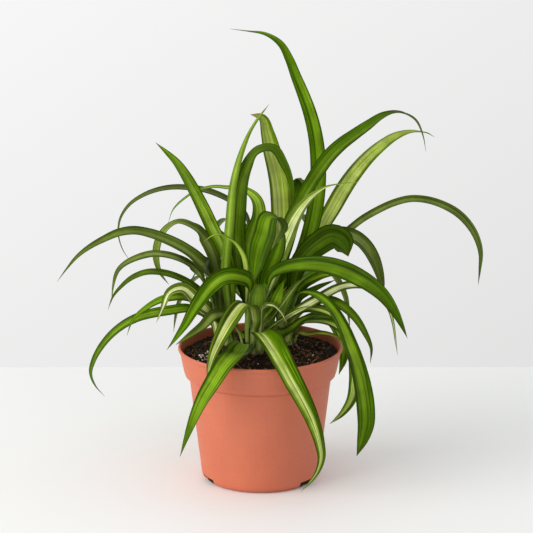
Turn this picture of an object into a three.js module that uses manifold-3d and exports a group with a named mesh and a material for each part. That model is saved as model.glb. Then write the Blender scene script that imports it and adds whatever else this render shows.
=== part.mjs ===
// Potted spider plant in a nursery pot.
// Millimetres, +Z up, origin at the centre of the pot's base, seen from the front along +Y.
import * as THREE from 'three';
import { mergeVertices } from 'three/addons/utils/BufferGeometryUtils.js';
import Module from 'manifold-3d';

// ---------------------------------------------------------------- driving dimensions

const POT_HEIGHT = 108;
const RIM_RADIUS = 65;
const BASE_RADIUS = 45.8;
const WALL_SLOPE = 0.124;
const WALL = 1.4;
const FLOOR = 2;
const BASE_FILLET = 6;
const LIP_HEIGHT = 2.6;
const BAND_TOP_RADIUS = 63.8;
const BAND_FOOT_RADIUS = 60.6;
const BAND_FOOT_Z = 90;
const SHOULDER_Z = 83.5;
const ROUNDING = 1;
const POT_SIDES = 72;

const NOTCH_ANGLES = [-65, 55, 175];
const NOTCH_SPAN = 24;
const NOTCH_HEIGHT = 5.5;
const NOTCH_DEPTH = 8;

const SOIL_TOP_Z = 102;
const SOIL_SIDES = 54;
const SOIL_RINGS = 12;
const SOIL_EDGE_DROP = 4;
const SOIL_EDGE_INSET = 1;
// Lumps of the mix: height, waves across x and y (radians per mm) and phase.
const SOIL_WAVES = [[0.8, 0.21, 0.17, 0.6], [0.6, 0.43, -0.31, 0], [0.4, 0.37, 0.62, 1.6]];
const SEAT_GAP = 0.35;

const CROWN_RADIUS = 9.5;
const CROWN_TIP_RADIUS = 3.5;
const CROWN_HEIGHT = 22;
const CROWN_ROUNDING = 3;
const ROOTSTOCK_DEPTH = 16;
// The rootstock's foot is narrower than the crown, and so is the flat at the crown's top.
const ROOTSTOCK_FOOT_SHARE = 0.55;
const ROOTSTOCK_TAPER_SHARE = 0.6;
const CROWN_FLAT_SHARE = 0.6;
const CROWN_SIDES = 16;
const LOWEST_SEAT = 3;
const HIGHEST_SEAT = 17;

const BLADE_THICKNESS = 0.8;
const LEAST_HALF_WIDTH = 1;
const BASE_WIDTH = 5.5;
const BASE_RISE = 7;
const SEAT_CLEARANCE = 0.9;
const FOOT_SHARE = 0.03;
// How far along a blade is at its fullest, and how late it tapers from there.
const USUAL_FORM = [0.36, 2];
const LEAN_SHARE = 0.35;
const SWING_POWER = 1.5;
const STATION_STEP = 13;
const FEWEST_STATIONS = 6;
const MOST_STATIONS = 20;

// How far the edges stand above the midrib, as a share of the half width.
const FOLD = 0.3;

// Where the leafy shoots stand in the soil, [x, y].
const SHOOTS = {
  front: [-5, -3],
  left: [-27, 18],
  right: [19, 17],
  middle: [-3, 27],
  back: [2, 49],
};

// ---------------------------------------------------------------- leaves
// Each shoot lists its leaves from the outermost at the soil to the innermost at the top:
// name, side of the crown that it grows from (degrees, 0 is +X, 90 is the back), full width,
// how far its upper side leans to the front (0 to 1), how far its tip swings to the back
// (negative to the front), the directions that the blade faces along its length (degrees,
// like the side), then the points that its midrib passes through before that swing, [x, y, z],
// ending at the tip. A last pair, where it isn't the usual, is how far along the blade is at its
// fullest, and how late it tapers from there: at once for 1, and later the higher the number.

const LEAVES = {
  front: [
    ['leaf_front_left_long', -125, 22, 0, 0, [-120, -120, -110],
      [[-18, -46, 114], [-25, -62, 113], [-32, -70, 105], [-44, -74, 87], [-54, -74, 64], [-62, -72, 40]],
      [0.16, 1.4]],
    ['leaf_front_right_long', -60, 22, 0, 0, [-60, -80, -80],
      [[1, -26, 126], [9, -46, 122], [18, -67, 112], [25, -73, 101], [37, -76, 79], [45, -76, 56],
        [47, -74, 37], [41, -70, 22], [31, -64, 8]], [0.2, 1.15]],
    ['leaf_low_left_grey', 195, 11, 0.4, -8, [215, 215],
      [[-30, -4, 136], [-46, -14, 127], [-66, -24, 116]]],
    ['leaf_right_pale_edge', -10, 10, 0.4, 5, [10, 0, -20],
      [[18, -8, 130], [32, -8, 140], [51, -4, 150], [67, 2, 156], [87, 6, 153], [101, 6, 137],
        [109, 6, 98]], [0.25, 1.6]],
    ['leaf_right_low_brown', 35, 8, 0.3, 10, [30, 0],
      [[19, 2, 118], [37, 0, 131], [46, -2, 133], [55, -3, 132]]],
    ['leaf_stub_left', 130, 7, 0.2, 0, [160, 180],
      [[-13, 4, 113], [-18, 3, 122]]],
    ['leaf_front_striped', -95, 17, 0, 0, [-125, -125, -110],
      [[-4, -19, 132], [-6, -27, 146], [-11, -35, 152], [-18, -41, 147], [-26, -46, 135], [-33, -51, 123],
        [-38, -57, 112], [-41, -62, 97]], [0.5, 1.5]],
    ['leaf_right_low_pale', -35, 6, 0.3, -10, [-10, -10],
      [[18, -14, 134], [31, -14, 142], [42, -14, 145]]],
    ['leaf_front_left_bright', 215, 15, 0.55, -25, [225, 235, 240],
      [[-10, -4, 162], [-20, -6, 166], [-28, -9, 166], [-36, -12, 162], [-48, -20, 149], [-59, -28, 132],
        [-72, -36, 116]], [0.4, 1.7]],
    ['leaf_short_upright_b', 90, 13, 0, 10, [90, 90],
      [[8, 3, 136], [19, 5, 161]]],
    ['leaf_curl_cream', -50, 9, 0, -6, [-30, -20, -20],
      [[2, -12, 142], [8, -14, 145], [14, -16, 142], [21, -18, 131]]],
    ['leaf_short_upright_a', 20, 13, 0, 0, [-10, -30],
      [[14, 0, 137], [29, 0, 159]]],
    ['leaf_curl_pale', 148, 14, 0, -12, [180, 200, 190],
      [[-12, 4, 161], [-15, 2, 182], [-25, 2, 195], [-39, 4, 197], [-45, 5, 191]], [0.45, 1.8]],
    ['leaf_centre_upright', -80, 15, 0, -6, [-80, -70, -60],
      [[-2, -10, 136], [-1, -12, 153], [2, -15, 162], [7, -19, 158]], [0.5, 2]],
    ['leaf_right_bright_arch', -10, 15, 0.6, -55, [0, -20, -30],
      [[10, -3, 168], [24, -3, 174], [42, -6, 176], [60, -8, 173], [78, -10, 165], [93, -12, 154],
        [104, -14, 139], [113, -16, 120]], [0.6, 1.8]],
    ['leaf_centre_kinked', 80, 18, 0, -10, [80, 90, 120, 200, 255, 265, 265],
      [[6, 1, 168], [13, 3, 186], [16, 4, 206], [9, -1, 213], [4, -5, 200], [-1, -8, 186], [-5, -10, 163]],
      [0.7, 3]],
  ],
  left: [
    ['leaf_low_left_long', 140, 10, 0.45, 45, [170, 190, 200],
      [[-51, 18, 131], [-73, 20, 130], [-100, 18, 124], [-119, 14, 112], [-133, 10, 93], [-136, 8, 77],
        [-126, 6, 62]], [0.25, 1.8]],
    ['leaf_left_cream_folded', 220, 14, 0.66, -25, [225, 225, 230],
      [[-37, 14, 127], [-45, 10, 137], [-52, 6, 146], [-62, 1, 155], [-70, -1, 153], [-76, -2, 140],
        [-81, -3, 128]], [0.25, 1.6]],
    ['leaf_low_left_striped', 180, 9, 0.45, -15, [190, 200],
      [[-43, 14, 133], [-59, 8, 145], [-75, 8, 144], [-89, 8, 137], [-100, 8, 127], [-105, 8, 114]],
      [0.3, 1.7]],
    ['leaf_small_hook', 100, 7, 0.2, 20, [140, 180],
      [[-40, 30, 162], [-47, 30, 162], [-53, 30, 157], [-57, 30, 145]]],
    ['leaf_left_thin', 238, 7, 0.45, 15, [200, 200],
      [[-45, 10, 148], [-55, 8, 156], [-73, 6, 165], [-93, 5, 166], [-107, 7, 157], [-116, 8, 147],
        [-121, 8, 135]]],
    ['leaf_left_arch', 140, 15, 0.32, -40, [180, 200, 200],
      [[-42, 20, 161], [-54, 15, 178], [-79, 14, 192], [-103, 10, 198], [-126, 6, 190], [-142, 4, 179],
        [-157, 2, 160]], [0.28, 1.6]],
    ['leaf_left_middle', 196, 12, 0.32, -60, [200, 210],
      [[-45, 14, 156], [-58, 11, 172], [-82, 5, 181], [-103, 2, 175], [-111, 0, 166], [-114, -2, 145]],
      [0.28, 1.6]],
    ['leaf_small_upright', 60, 7, 0, 15, [90, 100],
      [[-27, 30, 177], [-28, 30, 190], [-34, 30, 197]]],
    ['leaf_left_hook', 130, 12, 0, 25, [115, 120, 180, 220, 240],
      [[-35, 34, 163], [-44, 37, 184], [-55, 24, 199], [-64, 24, 202], [-75, 24, 195], [-82, 24, 179],
        [-80, 22, 163], [-73, 20, 152]], [0.45, 3]],
    ['leaf_centre_left_tall', -60, 8, 0, 0, [-80, -90, -90],
      [[-27, 10, 166], [-24, 11, 202], [-21, 13, 236], [-14, 20, 262], [-5, 30, 280], [7, 36, 295]],
      [0.25, 2]],
    ['leaf_left_upright', 45, 11, 0, 45, [90, 110, 110],
      [[-24, 22, 166], [-38, 22, 198], [-55, 28, 231], [-67, 31, 250], [-84, 32, 267]], [0.5, 3]],
  ],
  right: [
    ['leaf_right_behind_rim', 50, 11, 0.6, 8, [20, -40, -80],
      [[40, 22, 124], [52, 23, 124], [62, 27, 113], [67, 29, 93], [63, 30, 74]], [0.6, 2]],
    ['leaf_right_over_soil', -15, 6, 0.3, 0, [-10, -10],
      [[34, 12, 113], [46, 7, 116], [59, 2, 115], [69, -5, 110]]],
    ['leaf_right_inner_droop', -75, 10, 0.4, -15, [-50, -30, -20],
      [[32, 4, 135], [44, -2, 138], [58, -6, 134], [68, -8, 120], [72, -9, 110]]],
    ['leaf_right_thin_brown', 100, 8, 0.2, 30, [60, 20],
      [[32, 20, 150], [46, 15, 160], [67, 14, 162], [85, 14, 153], [93, 13, 145]]],
    ['leaf_right_short_droop', 15, 11, 0.5, 0, [10, -40, -70],
      [[40, 12, 124], [55, 9, 124], [68, 8, 114], [74, 8, 89], [73, 6, 65], [66, 4, 52], [55, 2, 42]],
      [0.65, 2]],
    ['leaf_right_outer_droop', -56, 10, 0.4, -25, [-30, -20, -20],
      [[47, 6, 143], [67, -4, 139], [80, -6, 123], [87, -6, 106], [86, -6, 96]]],
    ['leaf_right_dark_pointed', -4, 10, 0.4, 5, [-20, -30],
      [[31, 14, 141], [43, 13, 150], [60, 11, 159]]],
    ['leaf_right_arch', 60, 14, 0.45, 45, [30, 20, -20, -50],
      [[31, 22, 160], [41, 26, 177], [63, 32, 190], [79, 34, 184], [91, 34, 169], [98, 33, 149],
        [100, 32, 141]], [0.6, 2]],
    ['leaf_right_big_droop', -50, 16, 0.3, -30, [-40, -40, -60],
      [[30, 4, 149], [46, -6, 150], [59, -16, 138], [67, -24, 122], [75, -30, 99], [80, -32, 75],
        [81, -32, 51], [75, -30, 28]], [0.8, 2.2]],
    ['leaf_right_dark_folded', 10, 20, 0.68, 20, [20, 40, 20],
      [[27, 17, 157], [32, 18, 172], [42, 19, 182], [51, 20, 189], [61, 22, 191], [67, 20, 184],
        [70, 18, 176]], [0.75, 4]],
    ['leaf_right_broad_green', -100, 15, 0.3, 5, [-60, -30],
      [[22, 7, 143], [36, 8, 162], [51, 9, 168]]],
    ['leaf_right_tall', 150, 12, 0, 10, [70, 80, 50, 10],
      [[14, 18, 165], [20, 20, 197], [32, 22, 221], [55, 26, 256], [79, 28, 275], [106, 26, 291],
        [123, 22, 284], [130, 16, 262]], [0.65, 1.5]],
  ],
  middle: [
    ['leaf_right_long_arch', 30, 9, 0.3, 50, [30, 20, -20, -45],
      [[24, 38, 145], [38, 41, 166], [64, 44, 185], [87, 46, 202], [118, 46, 215], [141, 44, 213],
        [163, 42, 201], [177, 40, 178], [177, 36, 147]], [0.7, 2]],
    ['leaf_tallest', 90, 13, 0, 35, [90, 90, 90, 110, 160],
      [[10, 37, 138], [30, 40, 166], [41, 42, 196], [46, 44, 234], [43, 47, 272], [30, 44, 312],
        [12, 35, 349], [-24, 20, 361]], [0.35, 2.2]],
    ['leaf_centre_arch_back', 130, 14, 0.35, -12, [90, 80, 60, 20, -70, -85],
      [[-18, 29, 178], [-17, 25, 212], [-12, 20, 242], [-2, 16, 261], [8, 14, 265], [18, 12, 253],
        [25, 10, 233], [24, 8, 215]]],
    ['leaf_centre_broad', 30, 17, 0, 25, [80, 90, 90, 90],
      [[15, 31, 178], [17, 32, 202], [15, 29, 237], [9, 24, 262], [2, 22, 287], [-4, 18, 295],
        [-8, 14, 293]], [0.5, 3]],
    ['leaf_centre_cream', -60, 15, 0, -15, [-70, -80, -60, -40],
      [[9, 15, 157], [20, 16, 190], [31, 14, 214], [43, 12, 228], [55, 11, 235], [77, 10, 238]],
      [0.4, 1.6]],
  ],
  back: [
    ['leaf_back_right_low', 45, 13, 0, 0, [45, 45],
      [[26, 72, 140], [52, 98, 142], [68, 114, 118], [74, 120, 86]]],
    ['leaf_back_low', 95, 14, 0, 0, [95, 95],
      [[-2, 74, 140], [-8, 104, 144], [-10, 126, 124], [-10, 136, 88]]],
    ['leaf_back_left_low', 145, 13, 0, 0, [145, 145],
      [[-22, 70, 136], [-48, 94, 138], [-66, 110, 112], [-72, 116, 84]]],
    ['leaf_back_left_grey', 190, 10, 0.2, 25, [180, 185, 190],
      [[-13, 54, 201], [-26, 57, 211], [-40, 58, 218], [-71, 56, 222], [-88, 52, 219], [-103, 46, 212],
        [-112, 38, 200], [-112, 32, 183], [-103, 28, 168]]],
    ['leaf_back_right_arch', 70, 13, 0, 0, [70, 70],
      [[12, 66, 168], [26, 88, 190], [38, 110, 180], [44, 122, 150]]],
    ['leaf_back_left_broad', 240, 13, 0, 25, [100, 100, 150, 180, 200],
      [[-9, 44, 177], [-2, 46, 202], [-7, 48, 219], [-24, 46, 224], [-44, 44, 225], [-63, 42, 215],
        [-70, 40, 208], [-74, 38, 198]]],
    ['leaf_back_left_arch', 120, 13, 0, 0, [120, 120],
      [[-8, 64, 168], [-22, 86, 188], [-36, 106, 176], [-42, 116, 148]]],
    ['leaf_behind_folded', -35, 16, 0, 20, [80, 90, 90],
      [[20, 42, 183], [27, 46, 218], [30, 44, 232], [33, 36, 236], [37, 27, 228]], [0.65, 3]],
    ['leaf_back_right_pale', 20, 14, 0, 55, [60, 80, 60, 60],
      [[32, 50, 155], [44, 52, 180], [55, 57, 199], [71, 60, 226], [91, 60, 250], [114, 58, 267],
        [132, 54, 270], [141, 52, 267]], [0.5, 2.5]],
  ],
};

// ---------------------------------------------------------------- solids

const wasm = await Module();
wasm.setup();

function toSolid(geometry) {
  const bare = geometry.clone();
  bare.deleteAttribute('normal');
  bare.deleteAttribute('uv');
  const merged = mergeVertices(bare, 1e-4);
  return new wasm.Manifold(new wasm.Mesh({
    numProp: 3,
    vertProperties: new Float32Array(merged.attributes.position.array),
    triVerts: new Uint32Array(merged.index.array),
  }));
}

function toGeometry(solid) {
  const mesh = solid.getMesh();
  const geometry = new THREE.BufferGeometry();
  geometry.setAttribute('position', new THREE.BufferAttribute(mesh.vertProperties, 3));
  geometry.setIndex(new THREE.BufferAttribute(mesh.triVerts, 1));
  geometry.computeVertexNormals();
  return geometry;
}

function lathe(points, sides) {
  const geometry = new THREE.LatheGeometry(points.map(([r, z]) => new THREE.Vector2(r, z)), sides);
  return geometry.rotateX(Math.PI / 2);
}

function radians(degrees) {
  return THREE.MathUtils.degToRad(degrees);
}

// Points on a quarter arc about [r, z], from one angle to another.
function arc(centreR, centreZ, radius, fromDegrees, toDegrees, steps) {
  return Array.from({ length: steps + 1 }, (_, i) => {
    const angle = radians(fromDegrees + (toDegrees - fromDegrees) * i / steps);
    return [centreR + radius * Math.cos(angle), centreZ + radius * Math.sin(angle)];
  });
}

// ---------------------------------------------------------------- pot

function bodyRadius(z) {
  return BASE_RADIUS + WALL_SLOPE * z;
}

function bandRadius(z) {
  const share = (z - BAND_FOOT_Z) / (POT_HEIGHT - LIP_HEIGHT - BAND_FOOT_Z);
  return BAND_FOOT_RADIUS + (BAND_TOP_RADIUS - BAND_FOOT_RADIUS) * share;
}

function potInnerRadius(z) {
  if (z >= BAND_FOOT_Z) return bandRadius(z) - WALL;
  const share = Math.max(0, (z - SHOULDER_Z) / (BAND_FOOT_Z - SHOULDER_Z));
  const body = bodyRadius(Math.min(z, SHOULDER_Z)) - WALL;
  return body + (bandRadius(BAND_FOOT_Z) - WALL - body) * share;
}

function makePot() {
  const lipFoot = POT_HEIGHT - LIP_HEIGHT;
  const outside = [
    [0, 0],
    ...arc(bodyRadius(0) - BASE_FILLET + ROUNDING, BASE_FILLET, BASE_FILLET, -90, -10, 4),
    [bodyRadius(SHOULDER_Z), SHOULDER_Z],
    [bandRadius(BAND_FOOT_Z) - ROUNDING, (SHOULDER_Z + BAND_FOOT_Z) / 2 - ROUNDING],
    [bandRadius(BAND_FOOT_Z), BAND_FOOT_Z - ROUNDING],
    [bandRadius(lipFoot - ROUNDING), lipFoot - ROUNDING],
    [RIM_RADIUS - ROUNDING * 0.3, lipFoot],
    [RIM_RADIUS, lipFoot + ROUNDING],
    [RIM_RADIUS, POT_HEIGHT - ROUNDING],
    [RIM_RADIUS - ROUNDING * 0.8, POT_HEIGHT],
  ];
  const inside = [
    [potInnerRadius(POT_HEIGHT) + ROUNDING / 2, POT_HEIGHT],
    [potInnerRadius(POT_HEIGHT - ROUNDING), POT_HEIGHT - ROUNDING],
    [potInnerRadius(BAND_FOOT_Z), BAND_FOOT_Z],
    [potInnerRadius(SHOULDER_Z), SHOULDER_Z],
    [potInnerRadius(FLOOR + BASE_FILLET), FLOOR + BASE_FILLET],
    [potInnerRadius(FLOOR) - BASE_FILLET, FLOOR],
    [0, FLOOR],
  ];
  let pot = toSolid(lathe([...outside, ...inside], POT_SIDES));
  for (const angle of NOTCH_ANGLES) pot = pot.subtract(makeNotchTool(angle));
  return toGeometry(pot);
}

// A drain notch is a wedge cut through the corner between the wall and the base.
function makeNotchTool(angle) {
  const half = radians(NOTCH_SPAN / 2);
  const near = BASE_RADIUS - NOTCH_DEPTH;
  const far = BASE_RADIUS + BASE_FILLET;
  const corner = (radius, turn) => new THREE.Vector2(radius * Math.cos(turn), radius * Math.sin(turn));
  const wedge = new THREE.Shape([
    corner(near, -half), corner(far, -half), corner(far, half), corner(near, half),
  ]);
  const tool = new THREE.ExtrudeGeometry(wedge, { depth: NOTCH_HEIGHT * 2, bevelEnabled: false });
  tool.translate(0, 0, -NOTCH_HEIGHT);
  tool.rotateZ(radians(angle - 90));
  return toSolid(tool);
}

// ---------------------------------------------------------------- soil

function soilHeight(x, y) {
  return SOIL_WAVES.reduce(
    (z, [height, waveX, waveY, phase]) => z + height * Math.sin(waveX * x + waveY * y + phase),
    SOIL_TOP_Z,
  );
}

function makeSoil() {
  const positions = [];
  const index = [];
  const ring = (radius, heightAt) => {
    for (let i = 0; i < SOIL_SIDES; i += 1) {
      const angle = 2 * Math.PI * i / SOIL_SIDES;
      const x = radius * Math.cos(angle);
      const y = radius * Math.sin(angle);
      positions.push(x, y, heightAt(x, y));
    }
  };
  // The pot's wall is made of flat facets, so the soil stays inside their middles.
  const fit = Math.cos(Math.PI / POT_SIDES);
  const wallRing = (z) => ring((potInnerRadius(z) - SEAT_GAP) * fit, () => z);
  const floorZ = FLOOR + SEAT_GAP;
  positions.push(0, 0, floorZ);
  ring((potInnerRadius(FLOOR) - BASE_FILLET - SEAT_GAP) * fit, () => floorZ);
  wallRing(FLOOR + BASE_FILLET + SEAT_GAP);
  wallRing(SHOULDER_Z + SEAT_GAP);
  wallRing(BAND_FOOT_Z + SEAT_GAP);
  wallRing(SOIL_TOP_Z - SOIL_EDGE_DROP);
  for (let k = SOIL_RINGS; k >= 1; k -= 1) {
    ring((potInnerRadius(SOIL_TOP_Z) - SOIL_EDGE_INSET) * fit * k / SOIL_RINGS, soilHeight);
  }
  const ringCount = (positions.length / 3 - 1) / SOIL_SIDES;
  positions.push(0, 0, soilHeight(0, 0));

  const at = (k, i) => 1 + k * SOIL_SIDES + i % SOIL_SIDES;
  const last = 1 + ringCount * SOIL_SIDES;
  for (let i = 0; i < SOIL_SIDES; i += 1) {
    index.push(0, at(0, i + 1), at(0, i));
    for (let k = 0; k + 1 < ringCount; k += 1) {
      index.push(at(k, i), at(k, i + 1), at(k + 1, i + 1), at(k, i), at(k + 1, i + 1), at(k + 1, i));
    }
    index.push(at(ringCount - 1, i), at(ringCount - 1, i + 1), last);
  }
  const geometry = new THREE.BufferGeometry();
  geometry.setAttribute('position', new THREE.Float32BufferAttribute(positions, 3));
  geometry.setIndex(index);
  let soil = toSolid(geometry);
  for (const [x, y] of Object.values(SHOOTS)) {
    soil = soil.subtract(toSolid(lathe(crownProfile(SEAT_GAP), CROWN_SIDES).translate(x, y, 0)));
  }
  return toGeometry(soil);
}

// ---------------------------------------------------------------- crowns

function crownRadius(z) {
  const share = THREE.MathUtils.clamp((z - SOIL_TOP_Z) / CROWN_HEIGHT, 0, 1);
  return CROWN_RADIUS + (CROWN_TIP_RADIUS - CROWN_RADIUS) * share;
}

// A crown is the stock that the leaves grow from, on a short rootstock down in the soil.
function crownProfile(grow) {
  const foot = SOIL_TOP_Z - ROOTSTOCK_DEPTH - grow;
  const top = SOIL_TOP_Z + CROWN_HEIGHT + grow;
  return [
    [0, foot],
    [CROWN_RADIUS * ROOTSTOCK_FOOT_SHARE + grow, foot],
    [CROWN_RADIUS + grow, foot + ROOTSTOCK_DEPTH * ROOTSTOCK_TAPER_SHARE],
    [CROWN_RADIUS + grow, SOIL_TOP_Z],
    [crownRadius(top - CROWN_ROUNDING) + grow, top - CROWN_ROUNDING],
    [CROWN_TIP_RADIUS * CROWN_FLAT_SHARE + grow, top],
    [0, top],
  ];
}

function makeCrown([x, y]) {
  return lathe(crownProfile(0), CROWN_SIDES).translate(x, y, 0);
}

// ---------------------------------------------------------------- leaves

const UP = new THREE.Vector3(0, 0, 1);
const FRONT = new THREE.Vector3(0, -1, 0);

// The line of sight of someone who stands in front and looks slightly down on the plant.
const DEPTH = new THREE.Vector3(0, 0.963, -0.269);

function makeLeaf(shoot, rank, count, [name, side, width, lean, swing, faces, points, form]) {
  const [x, y] = SHOOTS[shoot];
  const outward = new THREE.Vector3(Math.cos(radians(side)), Math.sin(radians(side)), 0);
  const seatZ = SOIL_TOP_Z + LOWEST_SEAT + (HIGHEST_SEAT - LOWEST_SEAT) * rank / (count - 1);
  const reach = crownRadius(seatZ) + SEAT_CLEARANCE;
  const seat = new THREE.Vector3(x, y, seatZ).addScaledVector(outward, reach);
  const rise = seat.clone().addScaledVector(UP, BASE_RISE).addScaledVector(outward, BLADE_THICKNESS);
  const way = points.map((point, i) => {
    const share = (i + 1) / points.length;
    return new THREE.Vector3(...point).addScaledVector(DEPTH, swing * Math.pow(share, SWING_POWER));
  });
  const curve = new THREE.CatmullRomCurve3([seat, rise, ...way], false, 'centripetal');
  const length = curve.getLength();
  const stations = Math.round(length / STATION_STEP);
  const segments = THREE.MathUtils.clamp(stations, FEWEST_STATIONS, MOST_STATIONS);
  return {
    name, width, lean, form: form ?? USUAL_FORM, faces: [side, ...faces], length, segments,
    centres: curve.getSpacedPoints(segments),
  };
}

// A leaf widens from its narrow foot to its fullest place, and tapers from there to a point.
function widthAt({ width, form: [fullest, taper] }, share) {
  const foot = Math.min(1, BASE_WIDTH / width);
  const widen = foot + (1 - foot) * THREE.MathUtils.smoothstep(share, FOOT_SHARE, fullest);
  const past = THREE.MathUtils.clamp((share - fullest) / (1 - fullest), 0, 1);
  return width * widen * (1 - Math.pow(past, taper));
}

function faceAt({ faces }, share) {
  const place = share * (faces.length - 1);
  const low = Math.min(Math.floor(place), faces.length - 2);
  return faces[low] + (faces[low + 1] - faces[low]) * (place - low);
}

// The blade's direction, its width and its upper side at each station.
function framesOf(leaf) {
  const last = leaf.segments;
  return leaf.centres.map((centre, i) => {
    const before = leaf.centres[Math.max(0, i - 1)];
    const after = leaf.centres[Math.min(last, i + 1)];
    const along = after.clone().sub(before).normalize();
    const facing = radians(faceAt(leaf, i / last) - 90);
    const level = new THREE.Vector3(Math.cos(facing), Math.sin(facing), 0);
    level.addScaledVector(along, -level.dot(along)).normalize();
    const lean = leaf.lean * THREE.MathUtils.smoothstep(i / last, FOOT_SHARE, LEAN_SHARE);
    const upper = level.cross(along).lerp(FRONT, lean);
    const across = along.clone().cross(upper).normalize();
    upper.copy(across).cross(along);
    return { centre, across, upper, half: widthAt(leaf, i / last) / 2 };
  });
}

function bladeGeometry(leaf) {
  const frames = framesOf(leaf);
  const positions = [];
  const point = (frame, sideways, rise) => {
    const place = frame.centre.clone().addScaledVector(frame.across, sideways);
    place.addScaledVector(frame.upper, rise);
    positions.push(place.x, place.y, place.z);
  };
  const thick = BLADE_THICKNESS / 2;
  const rings = frames.slice(0, -1);
  for (const frame of rings) {
    const edge = Math.max(frame.half, LEAST_HALF_WIDTH);
    const lift = edge * FOLD;
    point(frame, -edge, lift + thick);
    point(frame, 0, thick);
    point(frame, edge, lift + thick);
    point(frame, edge, lift - thick);
    point(frame, 0, -thick);
    point(frame, -edge, lift - thick);
  }
  const tip = frames[frames.length - 1];
  point(tip, 0, 0);

  // Both faces are split along the same diagonals, so that they can't cross where the blade twists.
  const sides = 6;
  const index = [];
  const tipIndex = rings.length * sides;
  for (let i = 0; i < sides; i += 1) {
    const next = (i + 1) % sides;
    for (let k = 0; k + 1 < rings.length; k += 1) {
      const a = k * sides + i;
      const b = k * sides + next;
      if (i < sides / 2) index.push(a, b, b + sides, a, b + sides, a + sides);
      else index.push(a, b, a + sides, b, b + sides, a + sides);
    }
    index.push((rings.length - 1) * sides + i, (rings.length - 1) * sides + next, tipIndex);
  }
  for (const [a, b, c] of [[0, 5, 4], [0, 4, 1], [1, 4, 3], [1, 3, 2]]) index.push(a, b, c);
  const geometry = new THREE.BufferGeometry();
  geometry.setAttribute('position', new THREE.Float32BufferAttribute(positions, 3));
  geometry.setIndex(index);
  geometry.computeVertexNormals();
  return geometry;
}

// ---------------------------------------------------------------- leaves make way for each other

const CLEARANCE = 2.6;
const NUDGE = 0.35;
const ROUNDS = 90;
const HELD_LENGTH = 10;
const FREE_LENGTH = 38;
// In stations: how far one nudge reaches along a leaf, and how long a stretch counts as one meeting.
const NUDGE_REACH = 2.5;
const MEETING_STATIONS = 5;
const SAMPLE_STEP = 2;
const SAMPLE_SIDES = [-1, -0.5, 0, 0.5, 1];
// Cells of the clearance's size, counted from a corner well outside the plant.
const CELLS_A_SIDE = 4096;
const CELL_OFFSET = 512;

function bladeSamples(leaves) {
  const samples = [];
  leaves.forEach((leaf, owner) => {
    const frames = framesOf(leaf);
    const step = leaf.length / leaf.segments;
    const between = Math.ceil(step / SAMPLE_STEP);
    for (let i = 0; i < leaf.segments; i += 1) {
      for (let k = 0; k < between; k += 1) {
        const share = k / between;
        const centre = frames[i].centre.clone().lerp(frames[i + 1].centre, share);
        const across = frames[i].across.clone().lerp(frames[i + 1].across, share);
        const upper = frames[i].upper.clone().lerp(frames[i + 1].upper, share);
        const half = THREE.MathUtils.lerp(frames[i].half, frames[i + 1].half, share);
        for (const side of SAMPLE_SIDES) {
          const place = centre.clone().addScaledVector(across, side * half);
          place.addScaledVector(upper, Math.abs(side) * half * FOLD);
          samples.push({ owner, station: i + share, place, depth: place.dot(DEPTH) });
        }
      }
    }
  });
  return samples;
}

// Pairs of samples on two leaves that lie closer than the clearance.
function closePairs(samples) {
  const cells = new Map();
  const key = (i, j, k) => (i * CELLS_A_SIDE + j) * CELLS_A_SIDE + k;
  const cellOf = (value) => Math.floor(value / CLEARANCE) + CELL_OFFSET;
  for (const sample of samples) {
    sample.cell = [cellOf(sample.place.x), cellOf(sample.place.y), cellOf(sample.place.z)];
    const name = key(...sample.cell);
    if (!cells.has(name)) cells.set(name, []);
    cells.get(name).push(sample);
  }
  const pairs = [];
  for (const a of samples) {
    const [i, j, k] = a.cell;
    for (let di = -1; di <= 1; di += 1) {
      for (let dj = -1; dj <= 1; dj += 1) {
        for (let dk = -1; dk <= 1; dk += 1) {
          for (const b of cells.get(key(i + di, j + dj, k + dk)) ?? []) {
            if (b.owner > a.owner && a.place.distanceTo(b.place) < CLEARANCE) pairs.push([a, b]);
          }
        }
      }
    }
  }
  return pairs;
}

// Where two leaves meet, the one in front moves forward and the other back, a little at a time.
function partLeaves(leaves) {
  for (let round = 0; round < ROUNDS; round += 1) {
    const pairs = closePairs(bladeSamples(leaves));
    if (pairs.length === 0) break;
    const meetings = new Map();
    for (const [a, b] of pairs) {
      const name = `${a.owner} ${b.owner} ${Math.floor(a.station / MEETING_STATIONS)}`;
      if (!meetings.has(name)) meetings.set(name, []);
      meetings.get(name).push([a, b]);
    }
    const moves = leaves.map((leaf) => new Array(leaf.segments + 1).fill(0));
    const push = (sample, amount) => {
      const list = moves[sample.owner];
      for (let i = 0; i < list.length; i += 1) {
        const weight = Math.max(0, 1 - Math.abs(i - sample.station) / NUDGE_REACH);
        if (Math.abs(amount * weight) > Math.abs(list[i])) list[i] = amount * weight;
      }
    };
    for (const group of meetings.values()) {
      const order = Math.sign(group.reduce((sum, [a, b]) => sum + b.depth - a.depth, 0)) || 1;
      for (const [a, b] of group) {
        push(a, -NUDGE * order);
        push(b, NUDGE * order);
      }
    }
    leaves.forEach((leaf, owner) => {
      const step = leaf.length / leaf.segments;
      leaf.centres.forEach((centre, i) => {
        const free = THREE.MathUtils.smoothstep(i * step, HELD_LENGTH, FREE_LENGTH);
        centre.addScaledVector(DEPTH, moves[owner][i] * free);
      });
    });
  }
}

// ---------------------------------------------------------------- the assembly

function material(color, roughness) {
  return new THREE.MeshStandardMaterial({ color, roughness, metalness: 0 });
}

function addPiece(group, name, geometry, pieceMaterial) {
  const mesh = new THREE.Mesh(geometry, pieceMaterial);
  mesh.name = name;
  group.add(mesh);
}

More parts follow.
